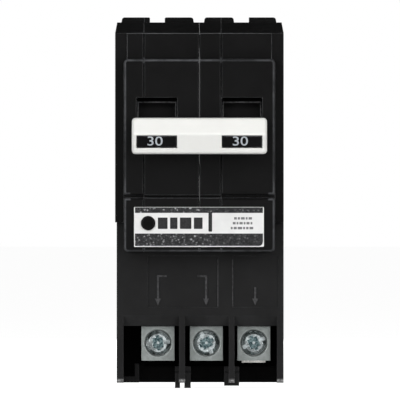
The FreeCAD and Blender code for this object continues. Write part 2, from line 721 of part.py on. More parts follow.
def make_cradle_pins():
    pins = []
    for pole, x0 in POLES.items():
        low = x0 - 3.4 if pole == "left" else S.seam_right - 3.5
        high = x0 + 4.6
        pins.append(rod(f"{pole}_pin", "x", low, S.cradle_depth, S.cradle_z, S.cradle_pin, high - low))
    group("cradle_pins", pins)


def make_toggle_spring(pole):
    """An extension spring from the cradle to the contact arm: a coil with a round hook at each end."""
    x0 = POLES[pole]
    depth, z = arm_pivot_point()
    start = at(x0, S.spring_depth, S.spring_z)
    lift = math.radians(S.arm_lift.number)
    reach = S.hook_reach.number
    end = at(x0, depth.number - reach * math.cos(lift), z.number + reach * math.sin(lift))
    axis = (end - start).normalize()
    radius, wire, hook = S.spring_radius.number, S.spring_wire.number, S.spring_hook.number
    turn = Rotation(Vector(0, 0, 1), axis)
    side, over = turn.multVec(Vector(radius, 0, 0)), turn.multVec(Vector(0, radius, 0))
    body = coil((end - start).Length - 2 * hook, radius, wire, 11.25)
    body.Placement = Placement(start + axis * hook, turn)
    stem, stem_wire = hook - radius - wire - 0.03, wire * 1.1
    near = Part.makeTorus(radius, wire, start + axis * radius, Vector(1, 0, 0).cross(axis)).fuse(
        Part.makeCylinder(stem_wire, stem, start + axis * radius + side, axis))
    far = Part.makeTorus(radius, wire, end - axis * radius, Vector(1, 0, 0)).fuse(
        Part.makeCylinder(stem_wire, stem, end - axis * (radius + stem) + over, axis))
    solid(f"{pole}_toggle_spring", Part.makeCompound([body, near, far]))


def make_trip_unit(pole):
    """The load side of a pole: bimetal, magnet yoke, armature and load strap."""
    x0 = POLES[pole]
    thick = S.sheet
    strap_back = S.knuckle_depth - 0.6
    yoke = Piece(f"{pole}_magnet_yoke")
    inner, outer = S.armature_half - 1.0, S.armature_half + 0.2
    yoke.pad("front", 22.0, 32.0, [
        (x0 - outer, 51.3), (x0 + outer, 51.3), (x0 + outer, 56.2), (x0 + inner, 56.2), (x0 + inner, 52.5),
        (x0 - inner, 52.5), (x0 - inner, 56.2), (x0 - outer, 56.2)])

    strap = Piece(f"{pole}_load_strap")
    strap.pad("side", x0 - 3.2, x0 + 3.2, [
        (strap_back, 43.0), (strap_back, 50.3), (34.0, 50.3), (34.0, 51.5), (strap_back, 51.5),
        (strap_back, 57.2), (strap_back + thick, 57.2), (strap_back + thick, 43.0)])
    strap.pocket("plan", 49.0, 53.0, disc(x0, 37.5, 1.3))

    armature = Piece(f"{pole}_armature")
    low, half = S.armature_z, S.armature_half
    armature.pad("plan", low, low + thick, rect(x0 - half, x0 + half, 15.0, S.knuckle_depth))
    armature.pad("side", x0 - half, x0 + half, disc(S.knuckle_depth, S.knuckle_z, S.knuckle_radius))
    ledge = S.latch_depth - 0.1
    armature.pad("side", x0 - 2.0, x0 + 2.0, rect(ledge - thick, ledge, low, S.latch_z))
    armature.pocket("plan", low - 1, low + thick + 1, rect(x0 - 2.0, x0 + 2.0, ledge, ledge + 5.0))


def make_bimetals():
    """The strips that bend with heat and pull their armatures down."""
    group("bimetals", [
        block(f"{pole}_strip", (x0 - 2.6, x0 + 2.6), (16.0, S.knuckle_depth - 0.65),
              (S.strip_low, S.strip_low + 1.0))
        for pole, x0 in POLES.items()])


def make_calibration_screws():
    screws = []
    for pole, x0 in POLES.items():
        shank = rod(f"{pole}_set_shank", "z", x0, 37.5, 50.0, 1.25, 3.85)
        head = rod(f"{pole}_set_head", "z", x0, 37.5, 49.9, 1.6, 0.35)
        slot = block(f"{pole}_set_slot", (x0 - 2, x0 + 2), (37.2, 37.8), (49.5, 50.1))
        whole = fuse(f"{pole}_set_whole", [shank, head], node=False)
        screws.append(cut(f"{pole}_set_cut", whole, slot, node=False))
    group("calibration_screws", screws)


def make_braid(pole):
    """The flexible copper braid from the contact arm round to the bimetal's free end."""
    x = POLES[pole].number + 3.3
    points = [at(x, 20.23, 84.75), at(x, 17.9, 77.8), at(x, 8.0, 72.0), at(x, 8.2, 52.9),
              at(x - 2.0, 17.6, 52.9)]
    solid(f"{pole}_braid", tube(bent_path(points, [4.0, 6.0, 4.0]), 0.95))


def make_trip_bar():
    """The common trip bar: a shaft through both poles, a finger over each armature and a plunger fork."""
    piece = Piece("trip_bar")
    depth, z, radius = S.bar_depth, S.bar_z, S.bar_radius
    piece.pad("side", -22.4, 22.4, disc(depth, z, radius))
    foot = S.armature_z + S.sheet + 0.1
    finger = [(depth - 0.6, z + 1.2), (depth + 1.2, z + 1.2), (depth + 6.2, z - 3.6), (depth + 6.2, foot),
              (depth + 4.2, foot), (depth - 0.6, z - 1.3)]
    for x0 in POLES.values():
        piece.pad("side", x0 - 4.8, x0 - 2.8, finger)
    for low, high in ((S.coil_x - 2.0, S.coil_x - 1.0), (S.coil_x + 1.0, S.coil_x + 2.0)):
        piece.pad("side", low, high, rect(depth, depth + 12.0, z - 0.6, z + 1.2))


# ---------------------------------------------------------------- ground-fault module

MODULE_RIVETS = [(-20.6, 16.0), (20.6, 16.0), (-20.6, 42.0), (20.6, 42.0)]  # (x, z)
BAYS = [(-22.7, -6.1), (-4.3, 8.8), (10.5, 23.2)]  # (left, right) of each bay's opening
STOP = (-19.4, -18.1)  # (left, right) of the upright that parts the first bay from the cord's corner
SNAP_LEGS = [(-7.3, -5.8, 1.6), (-4.5, -2.6, 1.6), (7.4, 8.8, 0.9), (10.4, 11.9, 0.9)]  # (left, right, drop)


def make_housing():
    """The load-end housing: front wall, side walls and three terminal bays."""
    left, right, deep, wall = -S.module_left, S.module_right, S.module_depth, S.wall
    top = S.pole_floor - 0.05
    cut_back = S.end_chamfer
    piece = Piece("module_housing")
    piece.pad("side", left, right, [
        (2.05, 10.2), (2.05, top), (deep, top), (deep, cut_back), (deep - cut_back, 0),
        (8.5, 0), (8.5, 10.2)])
    floor = S.ceiling + wall
    back = S.bay_back - wall
    piece.pocket("side", left + wall, right - wall, [
        (1.0, 10.2), (1.0, top + 1), (deep - wall, top + 1), (deep - wall, floor + 3.0), (deep - 3.5, floor),
        (back, floor), (back, wall), (7.5, wall), (7.5, 10.2)])
    brow = deep - S.bay_bevel_depth
    bay = [(S.bay_back, -1), (S.bay_back, S.ceiling), (brow, S.ceiling),
           (deep + 0.1, S.ceiling + S.bay_bevel), (deep + 1, S.ceiling + S.bay_bevel), (deep + 1, -1)]
    for low, high in BAYS:
        piece.pocket("side", low, high, bay)
    add_bay_lips(piece)
    for lug_x in (S.lug_left, S.lug_middle, S.lug_right):
        piece.pocket("plan", S.ceiling - 1, floor + 1, rect(
            lug_x - S.tongue_half - 0.2, lug_x + S.tongue_half + 0.2,
            S.tongue_depth - 0.2, S.tongue_depth + S.sheet + 0.2))
    x, half = S.cord_x, S.cord_half
    piece.pocket("plan", -1.0, wall + 1, rect(
        x - half, x + half, S.cord_depth - half, S.cord_depth + half))
    panels = [rect(-15.4, 5.4, 22.6, 38.0), rect(10.1, 23.6, 22.6, 38.0)]
    sunk = deep - 0.4
    piece.pocket("front", sunk, deep + 1, *panels)
    emboss_arrows(piece, sunk - 0.2, deep - 0.05)


def add_bay_lips(piece):
    """The low lips across the bays' mouths and the snap legs that hang from the walls between them."""
    back, leg, thick = S.lip_back, S.leg_back, 1.4
    for low, high in ((STOP[0], BAYS[0][1]), BAYS[1], BAYS[2]):
        piece.pad("side", low, high, rect(back, back + thick, 0, S.lip_high))
    piece.pad("side", BAYS[0][0], STOP[0], rect(leg, leg + thick, 0, S.sill_high))
    piece.pad("side", *STOP, rect(back, leg + thick, 0, S.stop_high))
    piece.pad("side", STOP[0], STOP[1] + 1.6, rect(back, back + thick, S.lip_high - 0.5, S.stop_high))
    for low, high, drop in SNAP_LEGS:
        piece.pad("side", low, high, [
            (leg, 0), (leg + 1.2, -drop), (leg + 4.6, -drop), (leg + 5.2, -drop + 0.8),
            (leg + 5.2, 3.0), (leg + 4.4, 3.4), (leg + 4.4, S.lip_high), (leg, S.lip_high)])
    bridge_low, bridge_high = SNAP_LEGS[2][0], SNAP_LEGS[3][1]
    piece.pad("side", bridge_low, bridge_high, rect(leg, leg + 5.2, -0.9, 0.8))


def emboss_arrows(piece, low, high):
    """Raised arrows that point each terminal bay out."""
    line, barb = 0.29, 0.9
    for x, top, tick in ((-12.4, 32.2, 2.6), (2.0, 32.2, -2.6), (16.7, 28.6, 0)):
        shaft = rect(x - line, x + line, 25.2, top)
        head = [(x - barb, 25.2), (x, 23.2), (x + barb, 25.2)]
        piece.pad("front", low, high, shaft)
        piece.pad("front", low, high, head)
        if tick:
            ends = sorted((x, x + tick))
            piece.pad("front", low, high, rect(ends[0], ends[1], top - 2 * line, top))


def make_rear_cover():
    """The back of the module, with the foot that hooks on the panel's mounting rail."""
    piece = Piece("module_rear_cover")
    left, right = -S.module_left, S.module_right
    skin = S.wall + 0.1
    piece.pad("side", left, right, rect(0, 2.0, 0.0, S.pole_floor - 0.05))
    foot = [(1.0, 8.2), (1.0, 10.1), (8.4, 10.1), (8.4, 0), (7.1, 0), (7.1, 8.2)]
    piece.pad("side", left + skin, right - skin, foot)
    for x, z in MODULE_RIVETS:
        piece.pocket("front", -1.0, 3.0, disc(x, z, 1.1))


def make_module_rivets():
    """Four pins that hold the circuit board and the rear cover together."""
    group("module_rivets", [
        rod(f"module_pin_{i}", "depth", x, 0.4, z, 1.0, 5.4) for i, (x, z) in enumerate(MODULE_RIVETS)])


def make_electronics():
    board = Piece("circuit_board")
    low = S.board_depth
    board.pad("front", low, low + S.board_thick, rect(-22.4, 22.4, 11.2, 45.0))
    board.pocket("front", low - 1, low + 3, *[disc(x, z, 1.1) for x, z in MODULE_RIVETS])
    face = low + S.board_thick + 0.02
    chip = Piece("control_chip")
    chip.pad("front", face, face + 1.6, rect(12.0, 16.2, 28.0, 37.0))
    for i in range(6):
        z = 29.1 + 1.27 * i
        chip.pad("front", face, face + 0.5, rect(11.0, 12.2, z, z + 0.45))
        chip.pad("front", face, face + 0.5, rect(16.0, 17.2, z, z + 0.45))
    places = ((16.5, 22.0), (-12.0, 17.0))
    group("filter_capacitors", [
        rod(f"capacitor_{i}", "depth", x, face, z, 2.6, 8.5) for i, (x, z) in enumerate(places)])
    rod("surge_varistor", "depth", -3.5, face, 19.0, 4.2, 3.0, node=True)


def make_sensor_cores():
    """Ring cores round the load conductors: the fault sensor above, the grounded-neutral sensor below."""
    for label, low, high, outer in (("fault_sensor_core", 31.5, 37.4, S.core_radius),
                                    ("neutral_sensor_core", 26.0, 30.6, S.core_radius - 0.8)):
        ring = rod(f"{label}_ring", "z", S.core_x, S.core_depth, low, outer, high - low)
        bore = rod(f"{label}_bore", "z", S.core_x, S.core_depth, low - 1, S.core_bore, high - low + 2)
        cut(label, ring, bore)


def make_solenoid():
    x, depth = S.coil_x, S.coil_depth
    low, high, radius = S.coil_low, S.coil_high, S.coil_radius
    body = rod("coil_body", "z", x, depth, low + 0.02, radius, high - low - 0.04)
    bore = rod("coil_bore", "z", x, depth, low - 1, S.plunger_radius + 0.3, high - low + 2)
    cut("solenoid_coil", body, bore)
    frame = Piece("solenoid_frame")
    side = radius + 0.6
    plates = [(x + side, low - 1.2), (x + side, high + 1.2), (x - side, high + 1.2), (x - side, high),
              (x + side - 1.2 + 0.8, high), (x + side - 0.4, low), (x - side, low), (x - side, low - 1.2)]
    frame.pad("front", depth - radius, depth + radius, plates)
    frame.pad("front", S.board_depth + S.board_thick + 0.02, depth - radius + 0.5, rect(
        x + side - 0.4, x + side, low + 2, high - 2))
    frame.pocket("plan", high - 1, high + 3, disc(x, depth, S.plunger_radius + 0.1))

    plunger = Piece("solenoid_plunger")
    plunger.pad("plan", 30.0, 46.2, disc(x, depth, S.plunger_radius))
    plunger.pad("plan", 46.1, 47.0, disc(x, depth, 3.0))
    rise = S.bar_z + 1.2 + 1.08
    plunger.pad("plan", 46.9, rise, disc(x, depth, S.rod_radius))
    plunger.pad("side", x - 1.9, x + 1.9, disc(depth, rise, 1.0))

    wire = 0.3
    spring = coil(3.1, 2.2, wire, 4)
    spring.Placement = Placement(at(x, depth, high.number + 1.2 + wire + 0.02), Rotation())
    solid("plunger_spring", spring)


def make_test_button():
    x, z, radius = S.button_x, S.button_z, S.button_radius
    button = Piece("test_button")
    button.pad("front", 52.6, S.label_depth + 0.9, disc(x, z, radius))
    button.pad("front", S.label_depth - S.wall - 1.1, S.label_depth - S.wall - 0.1, disc(x, z, radius + 0.8))
    button.dress("Fillet", 0.35, lambda edge: abs(edge.BoundBox.YMin + S.label_depth.number + 0.9) < 0.01)
    leaf = Piece("test_spring")
    leaf.pad("side", x - 1.2, x + 1.2, [
        (49.5, 41.2), (49.5, 45.0), (52.2, 48.9), (52.55, 48.6), (49.9, 44.8), (49.9, 41.2)])


def make_leads():
    """Insulated conductors from the load straps, through both cores, to the terminal tongues."""
    radius = S.lead_radius.number
    tongue = S.tongue_depth + S.sheet + 0.03
    left = [at(-12.3, 42.3, 46.6), at(-12.3, 42.3, 40.0), at(-12.3, 33.95, 40.0), at(-12.3, 33.95, 22.6),
            at(-12.3, tongue, 22.6)]
    solid("left_load_lead", tube(bent_path(left, [2.4, 2.4, 2.4]), radius))
    right = [at(12.7, 42.3, 46.6), at(12.7, 42.3, 43.6), at(12.7, 37.0, 43.6), at(-14.8, 37.0, 43.6),
             at(-14.8, 30.25, 43.6), at(-14.8, 30.25, 20.1), at(16.3, 30.25, 20.1), at(16.3, tongue, 20.1)]
    solid("right_load_lead", tube(bent_path(right, [1.5, 2.4, 2.4, 2.4, 2.4, 2.4]), radius))
    cord_x, cord_depth = S.cord_x.number, S.cord_depth.number
    neutral = [at(cord_x, cord_depth, 3.0), at(cord_x, cord_depth, 44.2), at(-10.6, cord_depth, 44.2),
               at(-10.6, 30.25, 44.2), at(-10.6, 30.25, 23.6), at(2.1, 30.25, 23.6), at(2.1, tongue, 23.6)]
    solid("neutral_lead", tube(bent_path(neutral, [2.4, 2.4, 2.4, 2.4, 2.4]), radius))


# ---------------------------------------------------------------- load terminals

LUGS = {"left": S.lug_left, "neutral": S.lug_middle, "right": S.lug_right}
SLOT_TURN = {"left": 6, "neutral": 117, "right": 24}


def make_lug_collars():
    """Plated steel box collars, each with a tapped front wall, open at the top and the bottom."""
    collars = []
    back, front = S.lug_back, S.lug_back + S.lug_deep
    half, inner = S.lug_half, S.lug_half - S.lug_wall
    low, high = S.lug_low, S.lug_high
    for name, x in LUGS.items():
        outside = block(f"{name}_collar_outside", (x - half, x + half), (back, front), (low, high))
        inside = block(f"{name}_collar_inside", (x - inner, x + inner), (
            back + S.lug_wall, front - S.lug_front_wall), (low - 1, high + 1))
        hole = rod(f"{name}_collar_hole", "depth", x, front - S.lug_front_wall - 1, S.screw_z,
                   S.screw_radius + 0.1, S.lug_front_wall + 2)
        mouth = doc.addObject("Part::Cone", f"{name}_collar_mouth")
        mouth.Placement = Placement(Vector(0, 0, 0), AXES["depth"])
        for prop, dim in (("Radius1", S.screw_radius), ("Radius2", S.screw_radius + 0.6), ("Height", 0.6),
                          ("Placement.Base.x", x), ("Placement.Base.y", 0.5 - front),
                          ("Placement.Base.z", S.screw_z)):
            bind(mouth, prop, dim)
        room = fuse(f"{name}_collar_room", [inside, hole, mouth], node=False)
        collars.append(cut(f"{name}_collar", outside, room, node=False))
    group("lug_collars", collars)


def make_pressure_pad(name):
    """The plate at the screw's tip that spreads its force over the strands of the wire."""
    x, half = LUGS[name], S.pad_half
    piece = Piece(f"{name}_pressure_pad")
    low, high = S.screw_z - 3.4, S.screw_z + 3.4
    piece.pad("front", S.pad_depth, S.pad_depth + 1.2, rect(x - half, x + half, low, high))
    piece.dress("Fillet", 0.8, lambda edge: edge.BoundBox.YLength > 1 and edge.BoundBox.XLength < 0.01)


def make_lug_screw(name):
    """A headless combination-drive binding screw with a straight slot and a cross recess."""
    x, radius = LUGS[name], S.screw_radius
    tip, top = S.screw_tip, S.lug_back + S.lug_deep - S.screw_sink
    piece = Piece(f"{name}_lug_screw")
    piece.pad("front", tip, top, disc(0, 0, S.screw_root))
    for i in range(8):
        start = tip + 0.9 + S.screw_pitch * i
        piece.pad("front", start, start + S.screw_pitch / 2, disc(0, 0, radius))
    piece.pad("front", top - S.screw_cone - 0.3, top, disc(0, 0, radius - 0.05))
    piece.dress("Chamfer", S.screw_cone, lambda edge: abs(edge.BoundBox.YMin + top.number) < 0.01)
    piece.pocket("front", top - 1.2, top + 1, rect(-5, 5, -0.62, 0.62))
    piece.pocket("front", top - 2.2, top + 1, rect(-1.55, 1.55, -1.55, 1.55))
    piece.pocket("front", top - 1.8, top + 1, rect(-0.55, 0.55, -2.3, 2.3))
    piece.place(x, 0, S.screw_z, axis=Vector(0, 1, 0), angle=-SLOT_TURN[name])


def make_terminal_tongues():
    """The three conductor tongues that the wires are clamped against."""
    tongues = []
    half, depth = S.tongue_half, S.tongue_depth
    for name, x in LUGS.items():
        low = 5.8 if name == "right" else 6.9
        tongues.append(block(f"{name}_tongue", (x - half, x + half), (depth, depth + S.sheet), (low, 25.0)))
    group("terminal_tongues", tongues)


def make_label():
    label = Piece("front_label")
    low = S.label_depth + 0.02
    label.pad("front", low, low + 0.2, rect(-19.5, 19.25, 40.7, 52.6))
    label.pocket("front", low - 1, low + 1, disc(S.button_x, S.button_z, S.button_radius + 0.25))


# ---------------------------------------------------------------- build, check and write


def build():
    make_pole_shells()
    make_rivets()
    for pole in POLES:
        make_handle(pole)
    make_tie()
    for pole in POLES:
        make_contact_arm(pole)
        make_line_terminal(pole)
        make_cradle(pole)
        make_toggle_spring(pole)
        make_trip_unit(pole)
        make_braid(pole)
    make_jaw_springs()
    make_fixed_contacts()
    make_arc_plates()
    make_cradle_pins()
    make_bimetals()
    make_calibration_screws()
    make_trip_bar()
    make_housing()
    make_rear_cover()
    make_module_rivets()
    make_electronics()
    make_sensor_cores()
    make_solenoid()
    make_test_button()
    make_leads()
    make_lug_collars()
    for name in LUGS:
        make_pressure_pad(name)
        make_lug_screw(name)
    make_terminal_tongues()
    make_label()
    doc.recompute()


def check():
    for obj in doc.Objects:
        if "Invalid" in obj.State or "Error" in obj.State:
            raise ValueError(f"{obj.Label} is {obj.State}")
    for obj, prop, dim in BOUND:
        if prop in ("Length", "Width", "Height", "Radius", "Size") and hasattr(obj, prop):
            if abs(float(getattr(obj, prop)) - dim.number) > 1e-6:
                raise ValueError(f"{obj.Label}.{prop} isn't what the sheet gives")
    for pocket in CUTS:
        if not pocket.Shape.Volume < pocket.BaseFeature.Shape.Volume - 1e-6:
            raise ValueError(f"{pocket.Label} cuts nothing")
    for node in NODES:
        shape = node.Shape
        if shape.isNull() or not shape.isValid() or not shape.Solids:
            raise ValueError(f"{node.Label} has no valid solid")


def write():
    os.makedirs("parts", exist_ok=True)
    for node in NODES:
        node.Shape.exportStep(os.path.join("parts", f"{node.Label}.step"))
    print(f"{len(NODES)} sub-parts written")


if __name__ == "__main__":
    build()
    check()
    write()
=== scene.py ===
"""Looks of the two-pole ground-fault breaker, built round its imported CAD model.

Row frame, in metres: +X across the poles, -Y towards the front, +Z from the load end to the line end.
A depth is measured forward from the back plane, so it is -Y.
"""

import json
import math
import random

import bmesh
import bpy
from mathutils import Matrix, Vector


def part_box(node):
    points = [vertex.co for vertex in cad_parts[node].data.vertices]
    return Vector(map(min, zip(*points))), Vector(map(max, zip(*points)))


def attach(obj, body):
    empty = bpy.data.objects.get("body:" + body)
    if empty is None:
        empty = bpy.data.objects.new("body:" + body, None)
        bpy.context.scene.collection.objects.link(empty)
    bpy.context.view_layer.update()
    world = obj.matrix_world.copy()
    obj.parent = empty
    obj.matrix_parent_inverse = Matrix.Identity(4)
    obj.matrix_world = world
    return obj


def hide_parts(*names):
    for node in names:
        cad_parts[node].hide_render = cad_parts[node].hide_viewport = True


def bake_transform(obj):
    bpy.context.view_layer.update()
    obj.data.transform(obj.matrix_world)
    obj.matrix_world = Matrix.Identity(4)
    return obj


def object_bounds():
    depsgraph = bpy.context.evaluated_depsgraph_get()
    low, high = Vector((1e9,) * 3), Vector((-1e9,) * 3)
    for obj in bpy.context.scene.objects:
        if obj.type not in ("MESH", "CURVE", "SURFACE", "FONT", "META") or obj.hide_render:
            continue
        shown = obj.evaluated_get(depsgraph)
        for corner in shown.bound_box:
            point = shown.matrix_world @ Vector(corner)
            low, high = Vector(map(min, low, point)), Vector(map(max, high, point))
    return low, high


MM = 0.001
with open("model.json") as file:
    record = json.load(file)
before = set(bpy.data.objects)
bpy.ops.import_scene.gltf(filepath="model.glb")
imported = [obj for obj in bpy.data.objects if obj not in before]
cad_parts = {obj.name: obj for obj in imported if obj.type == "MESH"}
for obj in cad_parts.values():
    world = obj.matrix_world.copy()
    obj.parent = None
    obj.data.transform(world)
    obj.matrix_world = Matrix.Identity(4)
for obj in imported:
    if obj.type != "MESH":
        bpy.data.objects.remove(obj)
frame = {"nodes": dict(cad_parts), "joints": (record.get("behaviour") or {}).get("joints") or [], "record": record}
CAD_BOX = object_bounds()
NODES = frame["nodes"]


# ---------------------------------------------------------------- places read from the frame


def joint(name):
    return next(j for j in frame["joints"] if j["name"] == name)


def centre(node):
    low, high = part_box(node)
    return (low + high) / 2


PIVOT = Vector(joint("handle_swing")["pos_m"])
LEAN = math.radians(sum(joint("handle_swing")["range_deg"]) / 2)
POLE_X = {side: centre(f"{side}_handle").x for side in ("left", "right")}


# ---------------------------------------------------------------- materials


class Shader:
    """A material with one Principled shader. Texture coordinates are millimetres in the row frame."""

    def __init__(self, name, **values):
        self.material = bpy.data.materials.new(name)
        self.material.use_nodes = True
        self.tree = self.material.node_tree
        self.tree.nodes.clear()
        self.shader = self.add("ShaderNodeBsdfPrincipled")
        output = self.add("ShaderNodeOutputMaterial")
        self.link(self.shader.outputs["BSDF"], output.inputs["Surface"])
        place = self.add("ShaderNodeTexCoord")
        scale = self.add("ShaderNodeVectorMath", operation="SCALE")
        scale.inputs["Scale"].default_value = 1 / MM
        self.link(place.outputs["Object"], scale.inputs[0])
        self.place = scale.outputs["Vector"]
        self.normal = None
        for key, value in values.items():
            self.shader.inputs[key.replace("_", " ")].default_value = value

    def add(self, kind, **settings):
        node = self.tree.nodes.new(kind)
        for key, value in settings.items():
            setattr(node, key, value)
        return node

    def link(self, source, target):
        self.tree.links.new(source, target)

    def feed(self, node, key, value):
        """Sets an input to a value, or links it when the value is another node's output."""
        if isinstance(value, bpy.types.NodeSocket):
            self.link(value, node.inputs[key])
        else:
            node.inputs[key].default_value = value

    def stretched(self, x, y, z):
        """Coordinates multiplied along each axis, for grain that runs one way."""
        node = self.add("ShaderNodeVectorMath", operation="MULTIPLY")
        self.link(self.place, node.inputs[0])
        node.inputs[1].default_value = (x, y, z)
        return node.outputs["Vector"]

    def noise(self, per_mm, detail=3.0, roughness=0.55, place=None):
        node = self.add("ShaderNodeTexNoise")
        self.link(place or self.place, node.inputs["Vector"])
        node.inputs["Scale"].default_value = per_mm
        node.inputs["Detail"].default_value = detail
        node.inputs["Roughness"].default_value = roughness
        return node.outputs["Fac"]

    def cells(self, per_mm, feature="F1"):
        """Distance from the nearest cell point, or from the nearest cell edge."""
        node = self.add("ShaderNodeTexVoronoi", feature=feature)
        self.link(self.place, node.inputs["Vector"])
        node.inputs["Scale"].default_value = per_mm
        return node.outputs["Distance"]

    def ramp(self, value, low, high, start=0.0, end=1.0, smooth=True):
        """start below low, end above high, and a slope between."""
        node = self.add("ShaderNodeMapRange", interpolation_type="SMOOTHSTEP" if smooth else "LINEAR")
        self.link(value, node.inputs["Value"])
        for key, number in (("From Min", low), ("From Max", high), ("To Min", start), ("To Max", end)):
            node.inputs[key].default_value = number
        return node.outputs["Result"]

    def maths(self, operation, first, second=0.0):
        node = self.add("ShaderNodeMath", operation=operation)
        self.feed(node, 0, first)
        self.feed(node, 1, second)
        return node.outputs["Value"]

    def times(self, first, second):
        return self.maths("MULTIPLY", first, second)

    def mix(self, share, first, second):
        """Blends two colours. Each is an (r, g, b) or another node's output."""
        node = self.add("ShaderNodeMix", data_type="RGBA")
        self.feed(node, "Factor", share)
        for socket, colour in ((node.inputs[6], first), (node.inputs[7], second)):
            if isinstance(colour, bpy.types.NodeSocket):
                self.link(colour, socket)
            else:
                socket.default_value = (*colour, 1.0)
        return node.outputs[2]

    def within(self, box):
        """1 inside a box and 0 outside. The box is a (low, high, fade) in millimetres for each axis."""
        split = self.add("ShaderNodeSeparateXYZ")
        self.link(self.place, split.inputs["Vector"])
        share = 1.0
        for axis, (low, high, fade) in zip("XYZ", box):
            value = split.outputs[axis]
            share = self.times(self.ramp(value, low - fade, low + fade), share)
            share = self.times(self.ramp(value, high - fade, high + fade, 1.0, 0.0), share)
        return share

    def rounded_rims(self):
        """1 on faces that lean away from the front, as a moulding's rounded rims do, 0 on flat ones."""
        face = self.add("ShaderNodeNewGeometry")
        split = self.add("ShaderNodeSeparateXYZ")
        self.link(face.outputs["Normal"], split.inputs["Vector"])
        facing = self.maths("ABSOLUTE", split.outputs["Y"])
        leaning = self.ramp(facing, 0.955, 0.993, 1.0, 0.0)
        return self.times(self.ramp(facing, 0.40, 0.62), leaning)

    def edges(self, radius_mm):
        """0 on a flat face, rising towards 1 on convex and concave edges narrower than the radius."""
        bevel = self.add("ShaderNodeBevel", samples=6)
        bevel.inputs["Radius"].default_value = radius_mm * MM
        face = self.add("ShaderNodeNewGeometry")
        dot = self.add("ShaderNodeVectorMath", operation="DOT_PRODUCT")
        self.link(bevel.outputs["Normal"], dot.inputs[0])
        self.link(face.outputs["Normal"], dot.inputs[1])
        self.normal = bevel.outputs["Normal"]
        return self.ramp(dot.outputs["Value"], 0.80, 0.995, 1.0, 0.0)

    def ring(self, radius, at, width, patches):
        """1 on a thin ring about an axis, broken up where the patches are low."""
        off = self.maths("ABSOLUTE", self.maths("SUBTRACT", radius, at))
        band = self.ramp(off, width * 0.4, width, 1.0, 0.0)
        return self.times(band, self.ramp(patches, 0.44, 0.54))

    def bump(self, height, depth_mm):
        node = self.add("ShaderNodeBump")
        node.inputs["Distance"].default_value = depth_mm * MM
        self.link(height, node.inputs["Height"])
        if self.normal:
            self.link(self.normal, node.inputs["Normal"])
        self.normal = node.outputs["Normal"]

    def finish(self, colour, roughness):
        self.feed_colour(colour)
        self.feed(self.shader, "Roughness", roughness)
        if self.normal:
            self.link(self.normal, self.shader.inputs["Normal"])
        return self.material

    def feed_colour(self, colour):
        socket = self.shader.inputs["Base Color"]
        if isinstance(colour, bpy.types.NodeSocket):
            self.link(colour, socket)
        else:
            socket.default_value = (*colour, 1.0)


def shade(colour, factor):
    return tuple(min(1.0, c * factor) for c in colour)


def moulded(name, colour, roughness, grain, gloss, edge, edge_mm=0.3, cloud=0.2, fleck=0.0,
            rim_highlight=None, plain=(), painted_shade_box=None, highlight_boxes=(), marks=(), mark=(0.05, 0.05, 0.052)):
    """Moulded plastic: cloudy colour, fine tool grain, flow streaks, dust flecks, and lighter edges, partly wear
    and partly a painted highlight.

    The colour given for rounded rims is a painted highlight, except inside the plain boxes. Inside the shade box
    the colour is
    darkened and the sheen cut: painted shade. Inside the highlight boxes it is a pale, patchy painted highlight,
    and inside the marks' boxes it is lightened to the mark colour, a painted highlight on rims and edges and a
    lighter tone on raised arrows.
    """
    s = Shader(name)
    at_edge = s.edges(edge_mm)
    clouds = s.ramp(s.noise(0.11, 4.0), 0.32, 0.68)
    body = s.mix(clouds, shade(colour, 1 - cloud), shade(colour, 1 + cloud))
    streaks = s.noise(1.0, 3.0, place=s.stretched(0.35, 0.35, 2.4))
    body = s.mix(s.ramp(streaks, 0.58, 0.80, 0.0, 0.35), body, shade(colour, 1 + 3 * cloud))
    patchy = s.times(s.ramp(s.noise(0.45, 4.0, 0.7), 0.28, 0.60, 0.45, 1.0),
                     s.ramp(s.noise(0.06, 3.0, 0.6), 0.36, 0.58, 0.35, 1.0))
    # painted highlight on rounded rims, where the fillets would catch the soft boxes
    if rim_highlight:
        share = s.times(s.rounded_rims(), patchy)
        for box in plain:
            share = s.times(share, s.ramp(s.within(box), 0.0, 1.0, 1.0, 0.0))
        body = s.mix(share, body, rim_highlight)
    # lighter edges: partly wear and partly a painted highlight
    body = s.mix(s.times(at_edge, patchy), body, edge)
    if fleck:
        near = s.ramp(s.cells(1.15), 0.05, 0.16, 1.0, 0.0)
        chosen = s.ramp(s.noise(0.8, 2.0), 0.60, 0.66)
        share = s.times(s.times(near, chosen), fleck)
        body = s.mix(share, body, (0.03, 0.03, 0.03))
    # painted highlights in patches: pale in the boxes given for them, such as the walls' feet, and the mark colour
    # on drum rims and rib edges; on raised arrows the mark colour is a lighter tone
    breakup = s.ramp(s.noise(1.3, 4.0, 0.7), 0.36, 0.60, 0.3, 1.0)
    for boxes, pale in ((highlight_boxes, (0.30, 0.30, 0.30)), (marks, mark)):
        for box in boxes:
            body = s.mix(s.times(s.within(box), breakup), body, pale)
    # moulded grain scatters glancing light, so the sheen fades towards a glancing view
    glancing = s.add("ShaderNodeLayerWeight").outputs["Facing"]
    sheen = s.ramp(glancing, 0.45, 0.75, gloss, gloss * 0.15, False)
    # painted shade: inside the box the colour is darkened and the sheen cut
    if painted_shade_box:
        share = s.within(painted_shade_box)
        body = s.mix(share, body, shade(colour, 0.2))
        sheen = s.times(sheen, s.ramp(share, 0.0, 1.0, 1.0, 0.2, False))
    s.feed(s.shader, "Specular IOR Level", sheen)
    s.bump(s.noise(7.0, 4.0, 0.65), grain)
    rough = s.ramp(s.noise(0.5, 5.0, 0.65), 0.25, 0.75, roughness - 0.07, roughness + 0.09, False)
    return s.finish(body, rough)


